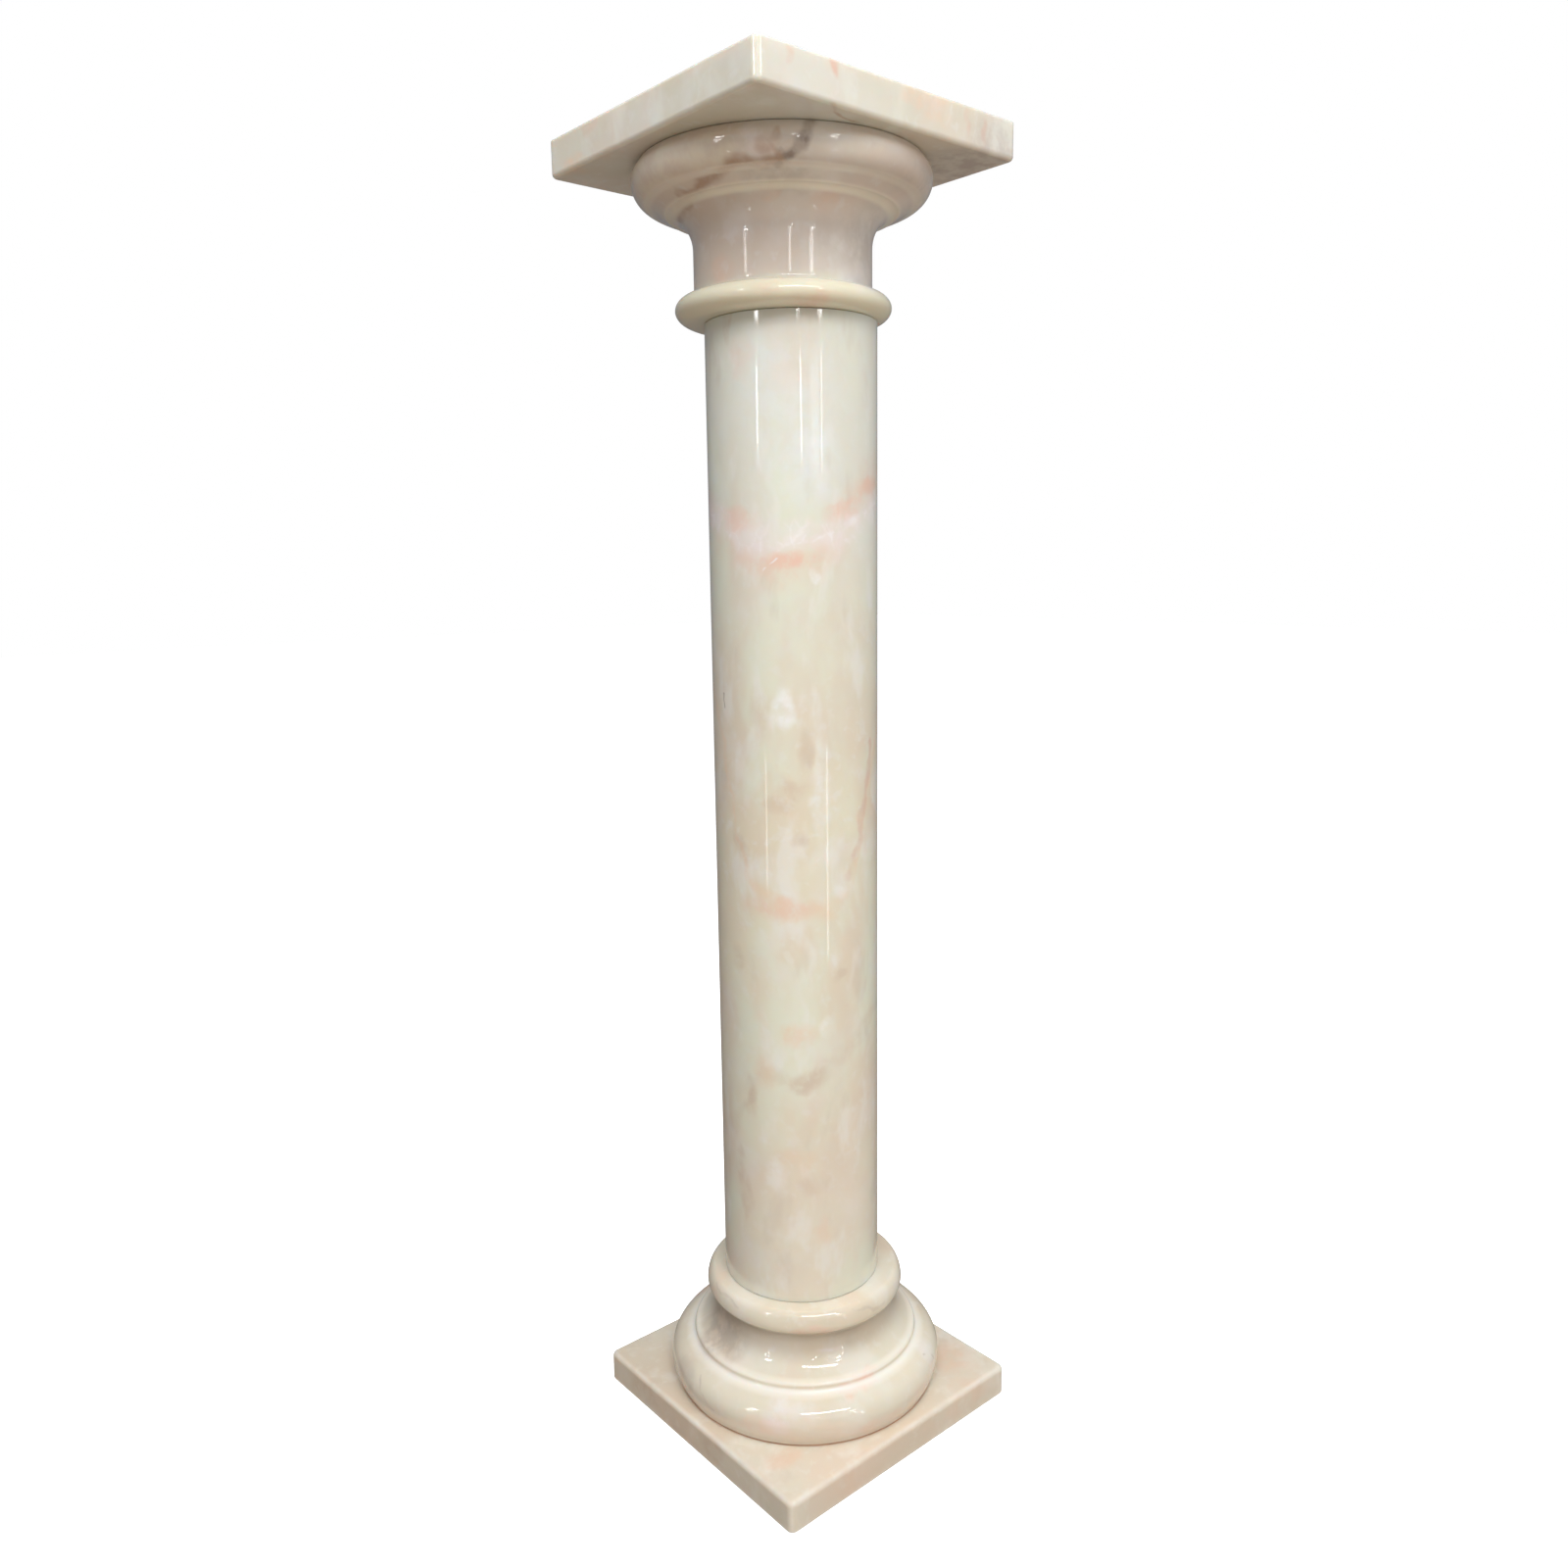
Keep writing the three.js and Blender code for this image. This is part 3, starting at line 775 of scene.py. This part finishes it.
capital_height = xyz(capital_marble.tree, capital_marble.ragged)["Z"]
cream_ring = faded(
    capital_marble.tree, capital_height,
    capital_low.z + RING_HEIGHT + 8 * MM, capital_low.z + RING_HEIGHT * 0.7,
)
capital_marble.lay(cream_ring, RING_CREAM)
capital_marble.spots(CAPITAL_PINK, turned_spots(capital_outline, capital_axis, (
    (222, 956, 5, 6, 0, 0.6), (224, 940, 6, 5, 0, 0.5), (253, 936, 9, 6, 0, 0.4),
    (224, 959, 7, 5, 0, 0.6), (243, 870, 12, 5, 0, 0.6), (221, 878, 9, 4, 0, 0.4),
    (189, 896, 9, 9, 0, 0.5), (30, 900, 16, 12, 0, 0.5), (100, 955, 18, 8, 0, 0.5),
)))
capital_marble.spots(CAPITAL_WHITE, turned_spots(capital_outline, capital_axis, (
    (220, 959, 11, 9, 0, 0.6), (284, 890, 20, 9, 20, 0.5), (200, 925, 10, 9, 0, 0.3),
    (60, 940, 16, 10, 0, 0.6), (130, 905, 14, 12, 0, 0.5),
)))
capital_marble.spots(BUFF, turned_spots(capital_outline, capital_axis, (
    (172, 958, 34, 12, 0, 0.7), (200, 957, 26, 8, 0, 0.7), (255, 962, 26, 7, 0, 0.4),
    (330, 955, 30, 12, 0, 0.5),
)))
# Mauve-grey clouds of the stone; those on the right of the neck and ovolo are painted shade.
capital_marble.spots(MAUVE_GREY_AND_PAINTED_SHADE, turned_spots(capital_outline, capital_axis, (
    (292, 912, 24, 26, 0, 0.6), (262, 915, 18, 16, 0, 0.3), (229, 946, 24, 7, 0, 0.7),
    (290, 955, 26, 10, 0, 0.5), (20, 912, 14, 20, 0, 0.4),
)))
for colour, width, strength, places in (
    (RUST, 7 * MM, 0.75, (
        (142, 940.5), (153, 940), (164, 941), (173, 941.8), (182, 943.2), (191, 945), (199, 947),
        (205, 948.6), (210, 950), (215, 950.8), (221, 949.2), (228, 950.5),
    )),
    (RUST, 4 * MM, 0.6, ((228, 949), (227, 954), (226, 960), (229, 965))),
    (SMOKE, 6 * MM, 0.7, ((231, 952), (234, 955), (237, 960), (239, 967), (240, 972))),
):
    capital_marble.vein(colour, width, strength, turned_line(capital_outline, capital_axis, *places))
capital_marble.spots(RUST, turned_spots(capital_outline, capital_axis, (
    (223, 958, 4, 5, 0, 0.5), (178, 944, 6, 3, 20, 0.5),
)))
capital_marble.spots(SMOKE, turned_spots(capital_outline, capital_axis, (
    (228, 955, 2.5, 2.5, 0, 0.8), (227, 949, 3, 1.6, 0, 0.7), (236, 959, 4, 4, 20, 0.75),
    (233, 954, 4, 3, 20, 0.5),
)))
# Painted highlights along the cavetto's arris and the lip where the ovolo springs.
capital_marble.ring(RIDGE_PAINTED_HIGHLIGHT, neck_top + CAVETTO[1] - MM, 2.6 * MM, 0.3 * MM, 0.75)
capital_marble.ring(LIP_PAINTED_HIGHLIGHT, neck_top + CAVETTO[1] + BAND[1], 1.8 * MM, 0.2 * MM, 0.5)
capital = turned_block(
    "marble_capital", capital_outline, capital_axis, CAPITAL_HOLLOW, CAPITAL_ARRIS, LATHE_WOBBLE,
    capital_marble.polished(),
)
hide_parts("capital")
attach(capital, "root")


# Abacus
# The top slab, alike to the plinth but laid the other way up: its lower arris is the soft one, and the edge
# of the platform above is kept finer. It is bedded on the ovolo.
ABACUS_SOFT_ARRIS = 3 * MM
ABACUS_FINE_ARRIS = 1.2 * MM
ABACUS_HIGHLIGHT_REACH = 3 * MM
DUSTY_PINK = (0.74, 0.65, 0.57, 1)
PALE_GREEN = (0.80, 0.81, 0.74, 1)
ABACUS_PINK = (0.76, 0.49, 0.39, 1)
ABACUS_PEACH = (0.82, 0.62, 0.47, 1)
UNDERSIDE_PAINTED_SHADOW = (0.50, 0.43, 0.39, 1)
BROWN_VEIN = (0.50, 0.33, 0.22, 1)
ABACUS_ARRIS_HIGHLIGHT = (0.82, 0.82, 0.80, 1)
abacus_marble = MarbleBlock(
    "abacus ivory marble", (0.8, 0.5, 0.9),
    cream=(0.69, 0.66, 0.55, 1), ivory=(0.74, 0.72, 0.64, 1),
    cloud=(0.75, 0.64, 0.54, 1), mist=(0.80, 0.80, 0.77, 1),
)
abacus_marble.streaks(DUSTY_PINK, scale=22, start=0.5, end=0.70, strength=0.5, lean=(0.3, 0.2, 0.0))
abacus_marble.streaks(PALE_GREEN, scale=30, start=0.5, end=0.68, strength=0.6, lean=(-0.3, 0.2, 0.0))
abacus_marble.spots(ABACUS_PINK, (
    slab_spot(-101, -114, 995, RIGHT_FACE, 3, 5, 0.4), slab_spot(-66, -114, 996, RIGHT_FACE, 3, 6, 0.75, 15),
    slab_spot(61, -114, 990, RIGHT_FACE, 2.5, 7, 0.45), slab_spot(78, -114, 987, RIGHT_FACE, 2.5, 8, 0.5),
    slab_spot(-126, 70, 996, LEFT_FACE, 8, 4, 0.45), slab_spot(40, 125, 990, RIGHT_FACE, 3, 7, 0.6),
    slab_spot(113, 30, 990, LEFT_FACE, 3, 7, 0.7),
))
abacus_marble.spots(ABACUS_PEACH, (
    slab_spot(10, -114, 995, RIGHT_FACE, 12, 6, 0.7), slab_spot(31, -114, 990, RIGHT_FACE, 10, 8, 0.6),
    slab_spot(-125, 95, 978, LEFT_FACE, 12, 6, 0.6), slab_spot(-60, 125, 985, RIGHT_FACE, 16, 8, 0.6),
))
# Painted shadow on the abacus's underside, towards the right and the back.
abacus_marble.spots(UNDERSIDE_PAINTED_SHADOW, (
    slab_spot(90, -80, 974, RIGHT_FACE, 34, 34, 0.9), slab_spot(100, 90, 974, RIGHT_FACE, 30, 30, 0.4),
))
abacus_marble.vein(BROWN_VEIN, 2.5 * MM, 0.6, [
    Vector(at) * MM for at in ((-66, -113, 974), (-52, -106, 974), (-42, -99, 974), (-30, -100, 974))
])
# Painted highlight along the abacus's arrises.
abacus_marble.painted_arris_highlights(*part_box("abacus"), ABACUS_HIGHLIGHT_REACH, ABACUS_ARRIS_HIGHLIGHT, 0.3)
abacus = rubbed_slab("marble_abacus", *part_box("abacus"), ABACUS_SOFT_ARRIS, ABACUS_FINE_ARRIS)
abacus.data.materials.append(abacus_marble.polished())
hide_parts("abacus")
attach(abacus, "root")


# Studio
# A pale floor under a white surround, soft lights in front and above, weaker ones at the left and the right,
# and narrow windows and lamps round the room that only show as reflections in the polish.
VIEW_TURN = math.radians(41.08)
CAMERA_SIDE = -2.1 * MM
CAMERA_DISTANCE = 948.35 * MM
CAMERA_HEIGHT = 691.76 * MM
CAMERA_PAN = math.radians(-0.577)
CAMERA_TILT = math.radians(-10.02)
CAMERA_ROLL = math.radians(-0.768)
CAMERA_FIELD = 2 * math.atan(800 / 1249.96)
FLOOR_REACH = 12
ROOM = 3.2
CLOSE_BY = 1.0
DAYLIGHT = (0.86, 0.94, 1)
WHITE = (1, 1, 1)
COLUMN_MIDDLE = Vector((0, 0, 0.5))


def seen_from(angle, distance, height):
    """A point round the column: angle in degrees to the right of the camera, at a distance and a height."""
    turn = -math.pi / 2 - VIEW_TURN + math.radians(angle)
    return Vector((distance * math.cos(turn), distance * math.sin(turn), height))


floor_mesh = bpy.data.meshes.new("studio_floor")
floor_mesh.from_pydata(
    [(-FLOOR_REACH, -FLOOR_REACH, 0), (FLOOR_REACH, -FLOOR_REACH, 0), (FLOOR_REACH, FLOOR_REACH, 0),
     (-FLOOR_REACH, FLOOR_REACH, 0)],
    [], [(0, 1, 2, 3)],
)
floor = bpy.data.objects.new("studio_floor", floor_mesh)
bpy.context.scene.collection.objects.link(floor)
floor_paint = bpy.data.materials.new("pale studio floor")
floor_paint.use_nodes = True
for name, value in (
    ("Base Color", (0.95, 0.95, 0.95, 1)), ("Roughness", 0.9), ("Specular IOR Level", 0.0),
    ("Emission Color", (1, 1, 1, 1)), ("Emission Strength", 0.8),
):
    floor_paint.node_tree.nodes["Principled BSDF"].inputs[name].default_value = value
floor_mesh.materials.append(floor_paint)
floor.visible_diffuse = False
floor.visible_glossy = False

surround = bpy.data.worlds.new("white surround")
bpy.context.scene.world = surround
surround.use_nodes = True
sky = surround.node_tree
sky.nodes.clear()
looking = node(sky, "ShaderNodeTexCoord").outputs["Generated"]
toward = reckon_vector(sky, "DOT_PRODUCT", looking, seen_from(30, 1, 0), result="Value")
below = faded(sky, xyz(sky, looking)["Z"], 0.05, -0.4)
front_light = tinted(sky, below, (0.40, 0.41, 0.42, 1), (1.02, 0.88, 0.73, 1))
back_light = tinted(sky, below, (0.20, 0.20, 0.21, 1), (0.24, 0.20, 0.17, 1))
ambient = tinted(sky, faded(sky, toward, -0.35, 0.8), back_light, front_light)
seen = node(sky, "ShaderNodeLightPath").outputs["Is Camera Ray"]
backdrop = tinted(sky, seen, ambient, (1, 1, 1, 1))
glow = node(sky, "ShaderNodeBackground", {"Color": backdrop, "Strength": 1.0})
node(sky, "ShaderNodeOutputWorld", {"Surface": glow.outputs[0]})


def soft_light(name, place, width, tall, power, colour=WHITE, aim=COLUMN_MIDDLE):
    """A flat rectangular lamp at a place, turned to shine on the column."""
    lamp = bpy.data.lights.new(name, "AREA")
    lamp.shape = "RECTANGLE"
    lamp.size, lamp.size_y = width, tall
    lamp.energy = power
    lamp.color = colour
    holder = bpy.data.objects.new(name, lamp)
    holder.location = place
    holder.rotation_euler = (aim - place).to_track_quat("-Z", "Y").to_euler()
    bpy.context.scene.collection.objects.link(holder)
    return holder


for angle, power in ((-8, 15), (15, 20)):
    soft_light("softbox_%+d" % angle, seen_from(angle, 1.84, 2.44), 1.2, 1.2, power).visible_glossy = False
soft_light("left_light", seen_from(-44, 1.8, 2.3), 1.2, 1.2, 8.5).visible_glossy = False
soft_light("overhead_light", seen_from(12, 1.2, 3.0), 2.2, 2.2, 47, (0.97, 0.98, 1)).visible_glossy = False
soft_light("side_light", seen_from(115, 2.4, 0.95), 1.5, 1.5, 14, (0.93, 0.98, 1)).visible_glossy = False
for number, (distance, angle, width, low, high, brightness, colour) in enumerate((
    (ROOM, -46, 0.10, 1.06, 1.32, 8, WHITE), (ROOM, -45, 0.30, 1.47, 1.54, 16, WHITE),
    (ROOM, -47, 0.16, 1.58, 1.61, 9, WHITE), (ROOM, -43, 0.03, 1.68, 1.78, 3.5, WHITE),
    (ROOM, -5, 0.03, 1.62, 1.68, 6, WHITE), (ROOM, 12, 0.08, 1.05, 1.34, 8, WHITE),
    (ROOM, 9, 0.24, 1.48, 1.54, 12, WHITE), (ROOM, 9, 0.12, 1.58, 1.61, 9, WHITE),
    (ROOM, 26, 0.04, 1.64, 1.80, 6, WHITE), (ROOM, 33, 0.03, 1.64, 1.80, 6, DAYLIGHT),
    (ROOM, 38, 0.05, 1.64, 1.80, 7, DAYLIGHT), (ROOM, 36, 0.20, 1.58, 1.61, 9, WHITE),
    (ROOM, 38, 0.34, 1.47, 1.54, 16, WHITE), (ROOM, 30, 0.60, 0.98, 1.34, 1.0, DAYLIGHT),
    (ROOM, 39, 0.07, 1.00, 1.36, 5, WHITE), (CLOSE_BY, 42, 0.02, 0.09, 0.42, 5, WHITE),
    (CLOSE_BY, -41, 0.015, 0.20, 0.40, 5, WHITE), (ROOM, -44, 0.40, 1.98, 2.26, 16, WHITE),
    (ROOM, 40, 0.30, 1.98, 2.20, 16, WHITE),
)):
    height = (low + high) / 2
    power = math.pi * width * (high - low) * brightness
    window = soft_light(
        "window_%d" % number, seen_from(angle, distance, height), width, high - low, power, colour,
        Vector((0, 0, height)),
    )
    window.visible_diffuse = False
ceiling_light = soft_light("ceiling_light", seen_from(18, 2.3, 2.45), 1.9, 0.30, 24)
ceiling_light.visible_diffuse = False

across = Matrix.Rotation(-VIEW_TURN, 3, "Z")
ahead = across @ Vector((
    math.sin(CAMERA_PAN) * math.cos(CAMERA_TILT),
    math.cos(CAMERA_PAN) * math.cos(CAMERA_TILT),
    math.sin(CAMERA_TILT),
))
level_right = across @ Vector((math.cos(CAMERA_PAN), -math.sin(CAMERA_PAN), 0))
level_up = level_right.cross(ahead)
right = level_right * math.cos(CAMERA_ROLL) + level_up * math.sin(CAMERA_ROLL)
up = level_up * math.cos(CAMERA_ROLL) - level_right * math.sin(CAMERA_ROLL)
lens = bpy.data.cameras.new("photo_camera")
lens.angle = CAMERA_FIELD
camera = bpy.data.objects.new("photo_camera", lens)
turned_view = Matrix((right, up, -ahead)).transposed().to_4x4()
camera_place = across @ Vector((CAMERA_SIDE, -CAMERA_DISTANCE, CAMERA_HEIGHT))
camera.matrix_world = Matrix.Translation(camera_place) @ turned_view
bpy.context.scene.collection.objects.link(camera)
bpy.context.scene.camera = camera
bpy.context.scene.view_settings.view_transform = "Standard"
